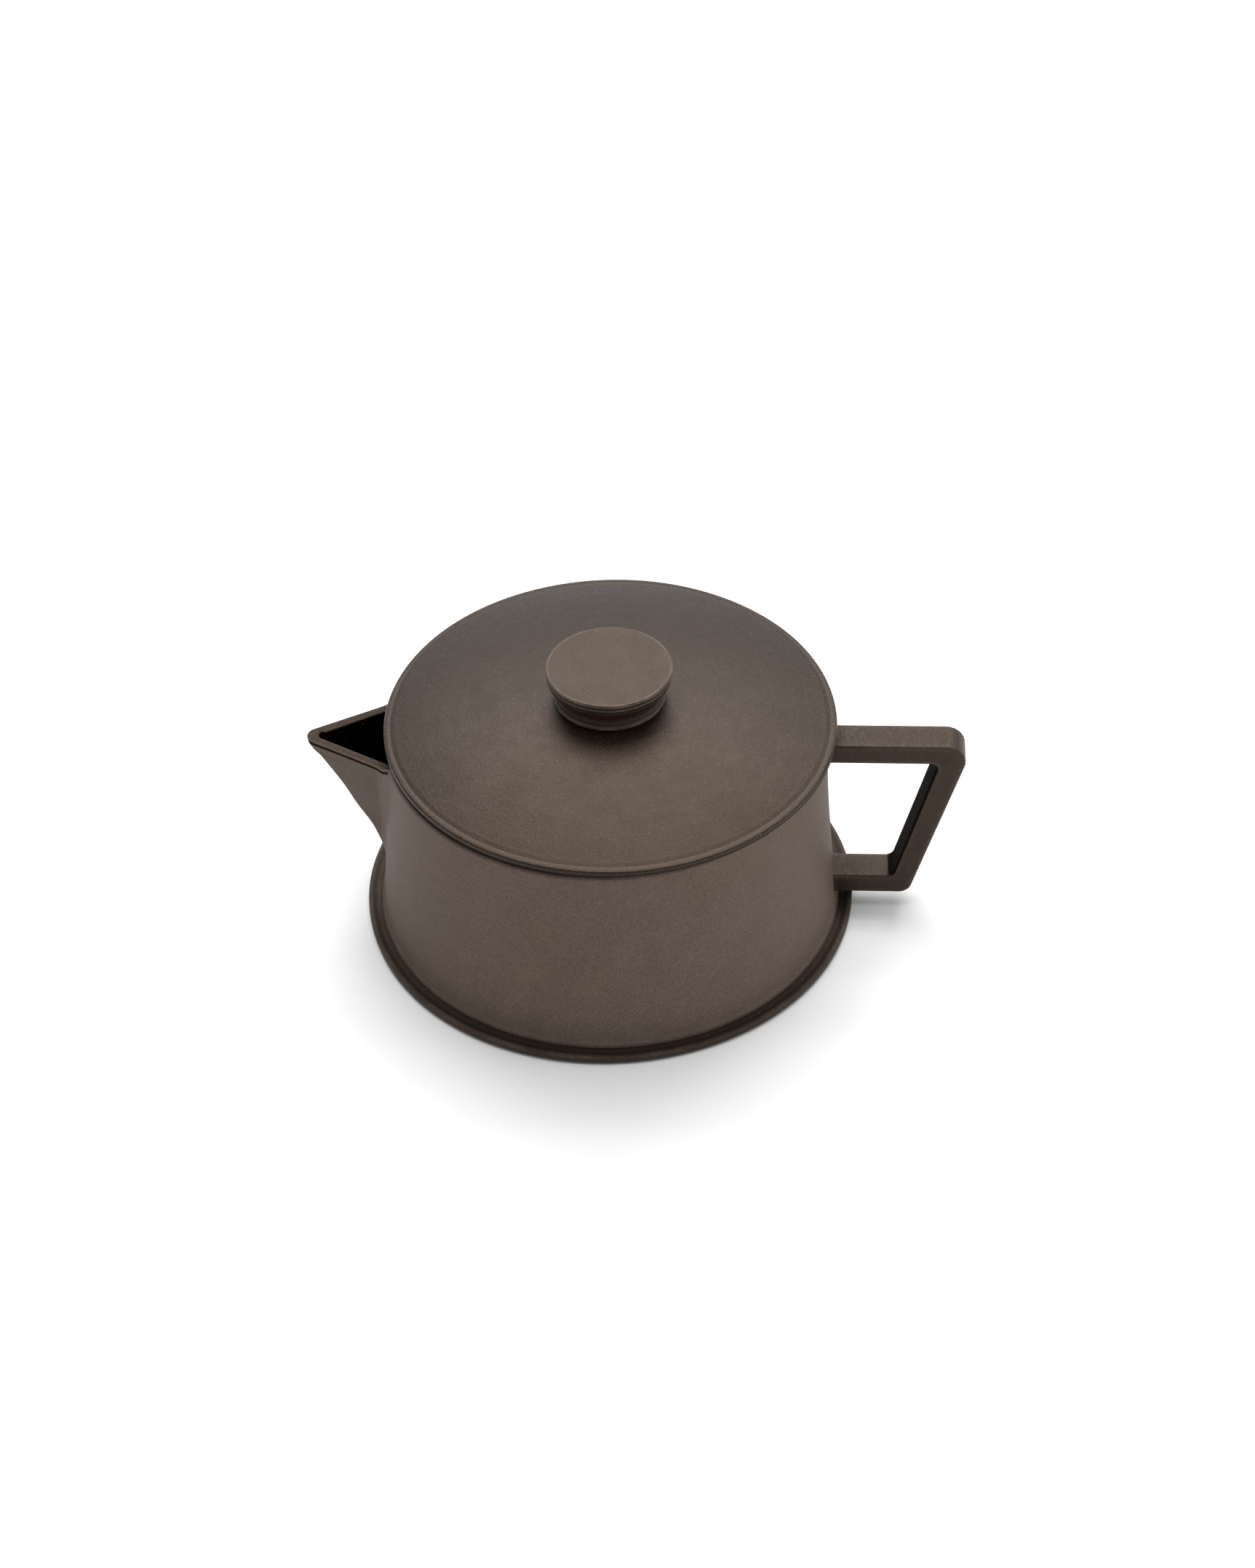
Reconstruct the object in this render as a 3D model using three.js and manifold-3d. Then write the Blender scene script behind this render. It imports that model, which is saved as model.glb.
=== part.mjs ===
// Lidded pouring pot in unglazed dark stoneware: a low waisted drum on a flanged foot disc, an open
// V spout, an angular strap handle, and a loose domed lid with a button knob.
// Millimetres, +Z up. The origin is the centre of the flat underside, the handle is at +X and the
// spout at -X. The pot is symmetric about the XZ plane.

import * as THREE from 'three';
import { mergeVertices } from 'three/addons/utils/BufferGeometryUtils.js';
import Module from 'manifold-3d';

// ---- driving dimensions ----

const slipGap = 0.3;          // slip line left between two pieces of clay
const turns = 60;             // facets around every turned piece

const foot = {
  radius: 77.6,
  thickness: 3.0,
  edgeRound: 1.45,
  dish: 0.4,                  // depth of the shallow trough in the flange's top
  dishRadius: 74.9,
};

const wall = {
  baseRadius: 72.5,
  waistRadius: 68.8,
  waistHeight: 58,            // above this height the wall is straight
  flare: 1.5,                 // how sharply it widens towards the foot
  filletHeight: 2.2,
  filletRadius: 1.1,          // how far the slip fillet spreads at the foot
  thickness: 3.2,
  rimTop: 69.35,
  rimRound: 1.2,
};

const spout = {
  halfAngle: 29.0,            // degrees, each side off the centre line, seen from above
  innerHalfAngle: 28.7,
  rimTop: 65.2,
  // keel line from inside the wall up to the lip: height, and distance from the pot's axis
  keel: [[14, 69.5], [30, 74.5], [46, 82.5], [57.7, 89.5], [65.2, 93.5]],
  noseRound: 3.4,
  innerNoseRound: 1.8,
  keelThickness: 4.5,         // measured along X
  layers: 8,
};

const handle = {
  width: 11.0,
  topArmTop: 67.3,
  lowArmBottom: 6.5,
  armThickness: 6.9,
  gripOuter: [113.2, 95.3],   // X of the grip's outer line at topArmTop and at lowArmBottom
  gripInner: [102.7, 89.8],   // X of its inner line at the finger gap's top and bottom
  outerTopRound: 5.4,
  outerLowRound: 4.0,
  innerTopRound: 2.0,
  innerLowRound: 3.0,
  edgeRound: 0.8,
  rootX: 60,                  // the arms start here and are trimmed to the wall
};

const lid = {
  radius: 70,
  offset: 1.6,                // the lid lies pushed this far towards the handle
  seat: wall.rimTop + slipGap,
  edgeThickness: 2.95,
  domeRise: 10.5,
  thickness: 3.4,
  seatInner: 61.5,            // inside this radius the underside follows the dome
  landRadius: 18.5,           // flat land under the knob
};

const collar = {
  outerRadius: 63.6,
  thickness: 3.4,
  bottom: 63.0,
  edgeRound: 0.8,
};

const knob = {
  radius: 19.5,
  height: 11.3,
  topRound: 0.6,
  waistRadius: 16.9,
  beadRadius: 17.7,
};

// ---- clays ----

const clay = (color, roughness) => new THREE.MeshStandardMaterial({ color, roughness, metalness: 0 });
const wallClay = clay(0x5f554e, 0.62);
const darkClay = clay(0x3d322b, 0.66);
const lidClay = clay(0x5a5046, 0.58);

// ---- solids and booleans ----

const wasm = await Module();
wasm.setup();

/** The geometry with only shared positions, wound so that its faces point out. */
function closed(geometry) {
  const bare = geometry.clone();
  bare.deleteAttribute('normal');
  bare.deleteAttribute('uv');
  const merged = mergeVertices(bare, 1e-4);
  const at = merged.getAttribute('position');
  const index = merged.getIndex().array;
  const kept = [];
  const [a, b, c] = [new THREE.Vector3(), new THREE.Vector3(), new THREE.Vector3()];
  let volume = 0;
  for (let i = 0; i < index.length; i += 3) {
    const [p, q, r] = index.slice(i, i + 3);
    if (p === q || q === r || r === p) continue;
    kept.push(p, q, r);
    a.fromBufferAttribute(at, p);
    b.fromBufferAttribute(at, q);
    c.fromBufferAttribute(at, r);
    volume += a.dot(b.cross(c));
  }
  if (volume < 0) kept.reverse();
  merged.setIndex(kept);
  return merged;
}

function toSolid(geometry) {
  const shell = closed(geometry);
  const vertProperties = new Float32Array(shell.getAttribute('position').array);
  const triVerts = new Uint32Array(shell.getIndex().array);
  return new wasm.Manifold(new wasm.Mesh({ numProp: 3, vertProperties, triVerts }));
}

function fromSolid(solid) {
  const mesh = solid.getMesh();
  const geometry = new THREE.BufferGeometry();
  geometry.setAttribute('position', new THREE.BufferAttribute(mesh.vertProperties, 3));
  geometry.setIndex(new THREE.BufferAttribute(mesh.triVerts, 1));
  return geometry;
}

function cut(geometry, ...tools) {
  return fromSolid(tools.reduce((left, tool) => left.subtract(toSolid(tool)), toSolid(geometry)));
}

// ---- turned profiles: [radius, height] pairs ----

/** A profile turned about Z. It starts and ends on the axis, or closes on itself. */
function turned(profile) {
  const geometry = new THREE.LatheGeometry(profile.map(([r, z]) => new THREE.Vector2(r, z)), turns);
  return closed(geometry.rotateX(Math.PI / 2));
}

/** Points on an arc about [cr, cz], from one angle to another in degrees, 0 pointing outwards. */
function arc(cr, cz, radius, from, to, steps = 3) {
  return Array.from({ length: steps + 1 }, (_, i) => {
    const angle = THREE.MathUtils.degToRad(from + (to - from) * i / steps);
    return [cr + radius * Math.cos(angle), cz + radius * Math.sin(angle)];
  });
}

/** Outer radius of the drum at a height: straight above the waist, widening to the foot. */
function wallRadius(z) {
  const below = Math.max(0, (wall.waistHeight - z) / (wall.waistHeight - foot.thickness));
  const fillet = Math.max(0, 1 - (z - foot.thickness) / wall.filletHeight);
  const widening = (wall.baseRadius - wall.waistRadius) * below ** wall.flare;
  return wall.waistRadius + widening + wall.filletRadius * fillet ** 2;
}

const wallBottom = foot.thickness + slipGap;
const wallHeights = [wallBottom, 4.1, 5.2, 12, 22, 34, 46, wall.waistHeight];

/** The drum's outer side as a full plug, grown outwards, for trimming what is stuck onto it. */
function wallPlug(grow) {
  const side = wallHeights.map((z) => [wallRadius(z) + grow, z]);
  const top = wall.rimTop + 5;
  return turned([[0, -1], [side[0][0], -1], ...side, [wall.waistRadius + grow, top], [0, top]]);
}

// ---- the pot ----

function footDisc() {
  const { radius, thickness, edgeRound, dish, dishRadius } = foot;
  const inner = radius - edgeRound;
  return turned([
    [0, 0],
    ...arc(inner, edgeRound, edgeRound, -90, 0),
    ...arc(inner, thickness - edgeRound, edgeRound, 0, 90),
    [dishRadius, thickness - dish],
    [wallRadius(wallBottom), thickness],
    [0, thickness],
  ]);
}

/** The wedge of space that the spout pours through, from inside the pot to above its rim. */
function channel() {
  const { rimTop, innerHalfAngle, innerNoseRound, keelThickness } = spout;
  const lip = wall.rimTop + 4 - rimTop;
  return wedge(innerHalfAngle, innerNoseRound, keelThickness, lip);
}

function bodyShell() {
  const { thickness, rimTop, rimRound } = wall;
  const outer = wallHeights.map((z) => [wallRadius(z), z]);
  const inner = wallHeights.slice(2).map((z) => [wallRadius(z) - thickness, z]).reverse();
  const rimOuter = wall.waistRadius - rimRound;
  const rimInner = wall.waistRadius - thickness + rimRound;
  const foothold = wallRadius(wallBottom) - thickness - wall.filletRadius - 1.5;
  const profile = [
    ...outer,
    ...arc(rimOuter, rimTop - rimRound, rimRound, 0, 90),
    ...arc(rimInner, rimTop - rimRound, rimRound, 90, 180),
    ...inner,
    [foothold, wallBottom],
    outer[0],
  ];
  return cut(turned(profile), channel());
}

/**
 * A V section standing on the keel line. Each layer is the same triangle with a rounded nose, moved
 * towards the pot as the keel falls back. The last layer is the rim's own section again, raised by
 * lift. shift moves the nose in from the keel line.
 */
function wedge(halfAngle, noseRound, shift, lift) {
  const { keel, layers } = spout;
  const line = new THREE.SplineCurve(keel.map(([z, x]) => new THREE.Vector2(z, x)));
  const slope = THREE.MathUtils.degToRad(halfAngle);
  const nose = arc(noseRound, 0, noseRound, 90 + halfAngle, 270 - halfAngle, 4);
  const tip = noseRound - noseRound / Math.sin(slope);
  const back = 42;
  const halfBack = (back - tip) * Math.tan(slope);
  const outline = [...nose, [back, -halfBack], [back, halfBack]];
  const shape = new THREE.Shape(outline.map(([x, y]) => new THREE.Vector2(x, y)));
  const steps = layers + 1;
  const geometry = new THREE.ExtrudeGeometry(shape, { depth: 1, steps, bevelEnabled: false });
  const at = geometry.getAttribute('position');
  for (let i = 0; i < at.count; i += 1) {
    const layer = Math.round(at.getZ(i) * steps);
    const onKeel = line.getPoint(Math.min(layer / layers, 1));
    at.setX(i, at.getX(i) - onKeel.y + shift);
    at.setZ(i, onKeel.x + (layer === steps ? lift : 0));
  }
  return geometry;
}

function spoutTrough() {
  return cut(wedge(spout.halfAngle, spout.noseRound, 0, 0), channel(), wallPlug(slipGap));
}

/** A corner of an outline as a quadratic curve between its two tangent points. */
function corner(shape, before, at, after, radius) {
  const back = before.clone().sub(at).normalize();
  const ahead = after.clone().sub(at).normalize();
  const setback = radius / Math.tan(back.angleTo(ahead) / 2);
  const start = at.clone().addScaledVector(back, setback);
  const end = at.clone().addScaledVector(ahead, setback);
  shape.lineTo(start.x, start.y);
  shape.quadraticCurveTo(at.x, at.y, end.x, end.y);
}

/** Side view of the strap in XZ, extruded across its width and trimmed to the wall. */
function handleStrap() {
  const { topArmTop, lowArmBottom, armThickness, gripOuter, gripInner, rootX, width, edgeRound } = handle;
  const point = (x, z) => new THREE.Vector2(x, z);
  const rootTop = point(rootX, topArmTop);
  const outerTop = point(gripOuter[0], topArmTop);
  const outerLow = point(gripOuter[1], lowArmBottom);
  const rootLow = point(rootX, lowArmBottom);
  const gapRootLow = point(rootX, lowArmBottom + armThickness);
  const gapLow = point(gripInner[1], lowArmBottom + armThickness);
  const gapTop = point(gripInner[0], topArmTop - armThickness);
  const gapRootTop = point(rootX, topArmTop - armThickness);
  const outline = new THREE.Shape();
  outline.moveTo(rootTop.x, rootTop.y);
  corner(outline, rootTop, outerTop, outerLow, handle.outerTopRound);
  corner(outline, outerTop, outerLow, rootLow, handle.outerLowRound);
  outline.lineTo(rootLow.x, rootLow.y);
  outline.lineTo(gapRootLow.x, gapRootLow.y);
  corner(outline, gapRootLow, gapLow, gapTop, handle.innerLowRound);
  corner(outline, gapLow, gapTop, gapRootTop, handle.innerTopRound);
  outline.lineTo(gapRootTop.x, gapRootTop.y);
  outline.closePath();
  const strap = new THREE.ExtrudeGeometry(outline, {
    depth: width - 2 * edgeRound,
    curveSegments: 4,
    bevelSize: edgeRound,
    bevelOffset: -edgeRound,
    bevelThickness: edgeRound,
    bevelSegments: 1,
  });
  strap.translate(0, 0, edgeRound - width / 2);
  strap.rotateX(Math.PI / 2);
  return cut(strap, wallPlug(slipGap));
}

// ---- the lid ----

/** Height of the lid's upper face above its seat at a radius. */
function domeTop(r) {
  const dome = lid.domeRise * (1 - (Math.max(r, lid.landRadius) / lid.radius) ** 2);
  return lid.seat + lid.edgeThickness + dome;
}

function lidDisc() {
  const { radius, seat, edgeThickness, thickness, seatInner, landRadius } = lid;
  const round = edgeThickness / 2;
  const radii = [landRadius, 30, 42, 54, 63];
  const top = [...radii].reverse().map((r) => [r, domeTop(r)]);
  const under = radii.slice(0, -1).map((r) => [r, domeTop(r) - thickness]);
  return turned([
    [0, domeTop(0) - thickness],
    ...under,
    [seatInner - 1.5, domeTop(seatInner) - thickness],
    [seatInner, seat],
    ...arc(radius - round, seat + round, round, -90, 75, 5),
    ...top,
    [0, domeTop(0)],
  ]);
}

function lidCollar() {
  const { outerRadius, thickness, bottom, edgeRound } = collar;
  const inner = outerRadius - thickness;
  const top = lid.seat - slipGap;
  return turned([
    [inner, top],
    ...arc(inner + edgeRound, bottom + edgeRound, edgeRound, 180, 270, 2),
    ...arc(outerRadius - edgeRound, bottom + edgeRound, edgeRound, 270, 360, 2),
    [outerRadius, top],
    [inner, top],
  ]);
}

function lidKnob() {
  const { radius, height, topRound, waistRadius, beadRadius } = knob;
  const base = domeTop(0) + slipGap;
  const side = [
    [beadRadius - 0.6, 0],
    [beadRadius, 0.9],
    [beadRadius - 0.5, 1.7],
    [waistRadius, 2.3],
    [waistRadius + 0.7, 4.0],
    [radius - 0.7, 6.6],
    [radius, height - topRound],
  ];
  return turned([
    [0, base],
    ...side.map(([r, z]) => [r, base + z]),
    ...arc(radius - topRound, base + height - topRound, topRound, 30, 90, 2),
    [0, base + height],
  ]);
}

// ---- assembly ----

function piece(name, geometry, material) {
  const mesh = new THREE.Mesh(geometry, material);
  mesh.name = name;
  return mesh;
}

const pot = new THREE.Group();
pot.add(
  piece('foot_disc', footDisc(), darkClay),
  piece('body_shell', bodyShell(), wallClay),
  piece('spout', spoutTrough(), wallClay),
  piece('handle', handleStrap(), darkClay),
);

const cover = new THREE.Group();
cover.add(
  piece('lid_disc', lidDisc(), lidClay),
  piece('lid_collar', lidCollar(), lidClay),
  piece('lid_knob', lidKnob(), lidClay),
);
cover.position.x = lid.offset;

const assembly = new THREE.Group();
assembly.add(pot, cover);

export default assembly;
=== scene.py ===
"""Looks of a lidded stoneware pouring pot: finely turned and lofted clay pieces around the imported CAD
frame, procedural clay materials, and a soft white studio. Shapes are worked out in millimetres and
written to the meshes in metres. The handle is at +X, the spout at -X.
"""

import math

import bmesh
import bpy
import numpy as np
from mathutils import Matrix, Vector


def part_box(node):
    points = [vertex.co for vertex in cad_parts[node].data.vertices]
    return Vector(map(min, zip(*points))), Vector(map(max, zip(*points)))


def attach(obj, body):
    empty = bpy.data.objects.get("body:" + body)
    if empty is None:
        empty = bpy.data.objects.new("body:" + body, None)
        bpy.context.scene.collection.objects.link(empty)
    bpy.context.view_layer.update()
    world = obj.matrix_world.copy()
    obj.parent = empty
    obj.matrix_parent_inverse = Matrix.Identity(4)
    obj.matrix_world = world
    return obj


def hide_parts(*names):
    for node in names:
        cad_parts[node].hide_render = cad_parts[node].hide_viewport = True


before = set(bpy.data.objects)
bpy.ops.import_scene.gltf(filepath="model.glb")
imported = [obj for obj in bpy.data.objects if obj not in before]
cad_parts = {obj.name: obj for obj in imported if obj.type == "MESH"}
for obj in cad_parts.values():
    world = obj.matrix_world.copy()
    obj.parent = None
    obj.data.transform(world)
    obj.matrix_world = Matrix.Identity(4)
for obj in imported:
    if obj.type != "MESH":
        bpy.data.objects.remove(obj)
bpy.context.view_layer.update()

MM = 0.001


# ---- sizes, in millimetres: the frame gives the outer ones, the rest are details of each piece ----

def corners(node):
    """Lowest and highest corner of a CAD node, in millimetres."""
    low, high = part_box(node)
    return np.array(low) / MM, np.array(high) / MM


FOOT_HIGH = corners("foot_disc")[1]
SHELL_HIGH = corners("body_shell")[1]
SPOUT_LOW, SPOUT_HIGH = corners("spout")
HANDLE_LOW, HANDLE_HIGH = corners("handle")
LID_LOW, LID_HIGH = corners("lid_disc")
COLLAR_LOW, COLLAR_HIGH = corners("lid_collar")
KNOB_LOW, KNOB_HIGH = corners("lid_knob")

FOOT_RADIUS = FOOT_HIGH[0]
FOOT_TOP = FOOT_HIGH[2]
RIM_TOP = SHELL_HIGH[2]
SPOUT_TOP = SPOUT_HIGH[2]
LID_X = (LID_LOW[0] + LID_HIGH[0]) / 2
LID_RADIUS = (LID_HIGH[0] - LID_LOW[0]) / 2
KNOB_RADIUS = (KNOB_HIGH[0] - KNOB_LOW[0]) / 2
COLLAR_RADIUS = (COLLAR_HIGH[0] - COLLAR_LOW[0]) / 2

WAIST_RADIUS = 68.8
WAIST_HEIGHT = 58.0
BASE_RADIUS = 72.4
BASE_FILLET_HEIGHT = 2.4
BASE_FILLET_REACH = 1.0
WALL = 3.2


# ---- mesh helpers ----

MERGE_WITHIN = 0.002 * MM
NO_LENGTH = 0.0001 * MM
FULL_EDGE = 900.0          # turn of the normal per metre
INSIDE_FACING = -0.40      # outward share of a normal, below which the face gets the inner clay
ARC_STEPS = 6
STRAIGHT = math.radians(89.5)
LONGEST_SETBACK = 0.49     # of a stretch, taken by the round at its end
WAVES = (2, 3, 5, 7)       # round a turned piece, which its drift is made of
DRIFT_FREE_RADIUS = 20     # nearer the axis than this, the drift fades out


def finish_mesh(name, points, faces, sharp_angle=None):
    """A closed, smooth-shaded mesh object from points in millimetres, wound outwards and marked for its
    material."""
    mesh = bpy.data.meshes.new(name)
    mesh.from_pydata((np.asarray(points, float) * MM).tolist(), [], faces)
    work = bmesh.new()
    work.from_mesh(mesh)
    bmesh.ops.remove_doubles(work, verts=work.verts, dist=MERGE_WITHIN)
    bmesh.ops.dissolve_degenerate(work, edges=work.edges, dist=NO_LENGTH)
    bmesh.ops.recalc_face_normals(work, faces=work.faces)
    if work.calc_volume(signed=True) < 0:
        bmesh.ops.reverse_faces(work, faces=work.faces)
    for face in work.faces:
        face.smooth = True
    work.to_mesh(mesh)
    work.free()
    if sharp_angle is not None:
        mesh.set_sharp_from_angle(angle=math.radians(sharp_angle))
    mark_surface(mesh)
    piece = bpy.data.objects.new(name, mesh)
    bpy.context.scene.collection.objects.link(piece)
    return piece


def mark_surface(mesh):
    """Writes two attributes at each point. edge is how strongly the surface turns outwards, from 0 to 1 at
    FULL_EDGE per metre. The painted-shade mark is 1 where the surface faces down or faces the pot's axis;
    the clay paints shade there."""
    count = len(mesh.vertices)
    at = np.empty(count * 3)
    mesh.vertices.foreach_get("co", at)
    at = at.reshape(-1, 3)
    normal = np.empty(count * 3)
    mesh.vertices.foreach_get("normal", normal)
    normal = normal.reshape(-1, 3)
    ends = np.empty(len(mesh.edges) * 2, np.int32)
    mesh.edges.foreach_get("vertices", ends)
    a, b = ends.reshape(-1, 2).T
    across = at[b] - at[a]
    turn = np.einsum("ij,ij->i", normal[b] - normal[a], across) / np.maximum((across ** 2).sum(1), 1e-12)
    strongest = np.full(count, -1e9)
    np.maximum.at(strongest, a, turn)
    np.maximum.at(strongest, b, turn)
    outwards = (normal[:, :2] * at[:, :2]).sum(1) / np.maximum(np.hypot(at[:, 0], at[:, 1]), 1e-6)
    inwards = smooth_step((-outwards - 0.2) / 0.25)
    downwards = smooth_step((-normal[:, 2] - 0.15) / 0.5)
    painted_shade = np.maximum(inwards, downwards)
    marks = {"edge": np.clip(strongest / FULL_EDGE, 0, 1), "painted_shade": painted_shade}
    for name, values in marks.items():
        mesh.attributes.new(name, "FLOAT", "POINT").data.foreach_set("value", values.astype(np.float32))


def paint_inside_shade(piece, material):
    """Gives a second, duller and darker material to the faces of a piece that look at the pot's axis:
    painted shade inside the pot, the channel and the grip.
    """
    mesh = piece.data
    mesh.materials.append(material)
    for face in mesh.polygons:
        away = Vector((face.center.x, face.center.y, 0)).normalized()
        if face.normal.dot(away) < INSIDE_FACING:
            face.material_index = 1


def sheet_faces(rows, columns, wrap_rows=False, wrap_columns=False):
    """Quads of a grid of points numbered row by row."""
    faces = []
    for row in range(rows if wrap_rows else rows - 1):
        for column in range(columns if wrap_columns else columns - 1):
            next_row = (row + 1) % rows
            next_column = (column + 1) % columns
            faces.append([
                row * columns + column,
                row * columns + next_column,
                next_row * columns + next_column,
                next_row * columns + column,
            ])
    return faces


def smooth_step(x):
    """Rises from 0 to 1 while x does, level at both ends."""
    x = np.clip(x, 0, 1)
    return x * x * (3 - 2 * x)


def curve_through(x, knots):
    """Smooth curve through (x, y) knots, flat past both ends."""
    xs, ys = np.array(knots, float).T
    slopes = np.gradient(ys, xs)
    x = np.clip(x, xs[0], xs[-1])
    i = np.clip(np.searchsorted(xs, x) - 1, 0, len(xs) - 2)
    h = xs[i + 1] - xs[i]
    t = (x - xs[i]) / h
    return (
        (2 * t ** 3 - 3 * t ** 2 + 1) * ys[i] + (t ** 3 - 2 * t ** 2 + t) * h * slopes[i]
        + (3 * t ** 2 - 2 * t ** 3) * ys[i + 1] + (t ** 3 - t ** 2) * h * slopes[i + 1]
    )


def outline(*corners_and_rounds, step):
    """Points of a polyline in (radius, height) with each inner corner rounded: ((r, z), round), ...
    They are no further than step apart."""
    at = [np.array(c, float) for c, _ in corners_and_rounds]
    points = [at[0]]
    for k in range(1, len(at) - 1):
        back, ahead = at[k - 1] - at[k], at[k + 1] - at[k]
        back_length, ahead_length = np.linalg.norm(back), np.linalg.norm(ahead)
        back, ahead = back / back_length, ahead / ahead_length
        half = math.acos(np.clip(back @ ahead, -1, 1)) / 2
        radius = corners_and_rounds[k][1]
        if radius <= 0 or half > STRAIGHT:
            points.append(at[k])
            continue
        longest = min(back_length * LONGEST_SETBACK, ahead_length * LONGEST_SETBACK)
        setback = min(radius / math.tan(half), longest)
        radius = setback * math.tan(half)
        centre = at[k] + (back + ahead) / np.linalg.norm(back + ahead) * radius / math.sin(half)
        start, end = at[k] + back * setback - centre, at[k] + ahead * setback - centre
        for t in np.linspace(0, 1, ARC_STEPS + 1):
            spoke = start * (1 - t) + end * t
            points.append(centre + spoke / np.linalg.norm(spoke) * radius)
    points.append(at[-1])
    return filled(points, step)


def filled(points, step):
    """The polyline with points added so that no stretch is longer than step."""
    out = [points[0]]
    for a, b in zip(points, points[1:]):
        count = max(1, math.ceil(np.linalg.norm(np.subtract(b, a)) / step))
        out += [np.asarray(a) + (np.asarray(b) - a) * k / count for k in range(1, count + 1)]
    return np.array(out)


def waver(angle, seed, size):
    """A slow hand-made drift round a turned piece, in millimetres, which reaches one to two times size."""
    draw = np.random.default_rng(seed)
    total = 0
    for n in WAVES:
        total = total + draw.normal() * np.sin(n * angle + draw.uniform(0, 2 * math.pi)) / n
    return size * total / 0.6


def turned(name, profile, turns, centre_x, seed, drift):
    """A profile of (radius, height) turned about the vertical line at centre_x. It starts and ends on
    the axis, or closes on itself. The radius wavers by drift, and less near the axis."""
    profile = np.asarray(profile, float)
    looped = np.allclose(profile[0], profile[-1])
    if looped:
        profile = profile[:-1]
    angle = np.arange(turns) * 2 * math.pi / turns
    r = np.repeat(profile[:, :1], turns, 1)
    z = np.repeat(profile[:, 1:], turns, 1)
    r = r + waver(angle, seed, drift) * np.minimum(r / DRIFT_FREE_RADIUS, 1)
    points = np.stack([centre_x + r * np.cos(angle), r * np.sin(angle), z], -1).reshape(-1, 3)
    return finish_mesh(name, points, sheet_faces(len(profile), turns, looped, True))


# ---- the pot's wall ----

def wall_radius(z):
    """Outer radius of the drum: straight above the waist, widening to the foot, with a slip fillet."""
    below = np.clip((WAIST_HEIGHT - z) / (WAIST_HEIGHT - FOOT_TOP), 0, 1)
    fillet = np.clip(1 - (z - FOOT_TOP) / BASE_FILLET_HEIGHT, 0, 1)
    return WAIST_RADIUS + (BASE_RADIUS - WAIST_RADIUS) * below ** 1.5 + BASE_FILLET_REACH * fillet ** 2


# ---- the spout's V, which the wall and the spout share ----

# The spout is a V in plan. Seen from the pot's axis, its outer and inner faces are radii over the
# angle from -X, so both join the drum's round wall through a fillet.

SPOUT_HALF_ANGLE = math.radians(29.0)
CHANNEL_HALF_ANGLE = math.radians(28.7)
NOSE_ROUND = 3.5
CHANNEL_NOSE_ROUND = 1.8
SPOUT_REACH = -SPOUT_LOW[0]
# Height, and how far the V's nose is from the pot's axis there.
KEEL = [
    (10, 66.0),
    (20, 71.6),
    (30, 75.2),
    (38, 79.3),
    (46, 82.9),
    (57.7, 89.2),
    (SPOUT_TOP, SPOUT_REACH - 0.2),
]
KEEL_THICKNESS = 4.6
V_END = 20.0               # the V stops this far from the pot's axis
LOW_FILLET = 2.0
FILLET_GROWTH = 1.6
FILLET_GROWS_FROM = 30
FILLET_GROWS_OVER = 36
CHANNEL_FILLET = 1.6
LIP_REACH = 0.7
LIP_FROM = 58.0
LIP_RISE = 3.0
LIP_TO = 62.5
LIP_FALL = 2.7
LIP_WIDTH = 3.6            # degrees
RIM_DIP_FROM = 12.5        # degrees from the spout's middle
RIM_DIP_OVER = 6.5
RIM_ROUND = 1.35
OUTER_RIM_ROUND = 0.9
RIM_SHARE = 0.06           # of a wall's height, meshed closely for the rounded rim
RIM_ROWS = 30
NEAREST = 40.0             # the search for a skin's radius starts between these two
FARTHEST = 110.0
HALVINGS = 40


def v_distance(u, y, nose, round_radius, half_angle):
    """Distance from a V with a rounded nose at u = nose, opening towards the pot's axis and ending
    short of it; negative inside."""
    behind = V_END - u
    u, y = u - (nose - round_radius), np.abs(y)
    on_arc = np.arctan2(y, u) < math.pi / 2 - half_angle
    flank = u * math.sin(half_angle) + y * math.cos(half_angle)
    return np.maximum(np.where(on_arc, np.hypot(u, y), flank) - round_radius, behind)


def rounded_union(a, b, radius):
    """Distance from two shapes joined with a fillet."""
    inside = np.hypot(np.maximum(radius - a, 0), np.maximum(radius - b, 0))
    return np.maximum(radius, np.minimum(a, b)) - inside


def skin_radius(angle, drum_radius, nose, nose_round, half_angle, fillet, inset):
    """Radius of the drum joined with the V, moved in by inset, along each ray from the axis, by halving."""
    low = np.full(np.broadcast(angle, drum_radius).shape, NEAREST)
    high = np.full(low.shape, FARTHEST)
    for _ in range(HALVINGS):
        r = (low + high) / 2
        v = v_distance(r * np.cos(angle), r * np.sin(angle), nose, nose_round, half_angle)
        outside = rounded_union(r - drum_radius, v, fillet) > -inset
        high = np.where(outside, r, high)
        low = np.where(outside, low, r)
    return (low + high) / 2


def outer_skin(angle, z, inset=0.0):
    """Outer radius of wall and spout together, with the pouring lip pulled forward at the nose."""
    fillet = LOW_FILLET + FILLET_GROWTH * smooth_step((z - FILLET_GROWS_FROM) / FILLET_GROWS_OVER)
    nose = curve_through(z, KEEL)
    radius = skin_radius(angle, wall_radius(z), nose, NOSE_ROUND, SPOUT_HALF_ANGLE, fillet, inset)
    lip = LIP_REACH * smooth_step((z - LIP_FROM) / LIP_RISE) * (1 - smooth_step((z - LIP_TO) / LIP_FALL))
    return radius + lip * np.exp(-(np.degrees(angle) / LIP_WIDTH) ** 2)


def inner_skin(angle, z, inset=0.0):
    """Inner radius of wall and channel together."""
    nose = curve_through(z, KEEL) - KEEL_THICKNESS
    drum_radius = wall_radius(z) - WALL
    return skin_radius(
        angle, drum_radius, nose, CHANNEL_NOSE_ROUND, CHANNEL_HALF_ANGLE, CHANNEL_FILLET, inset
    )


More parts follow.
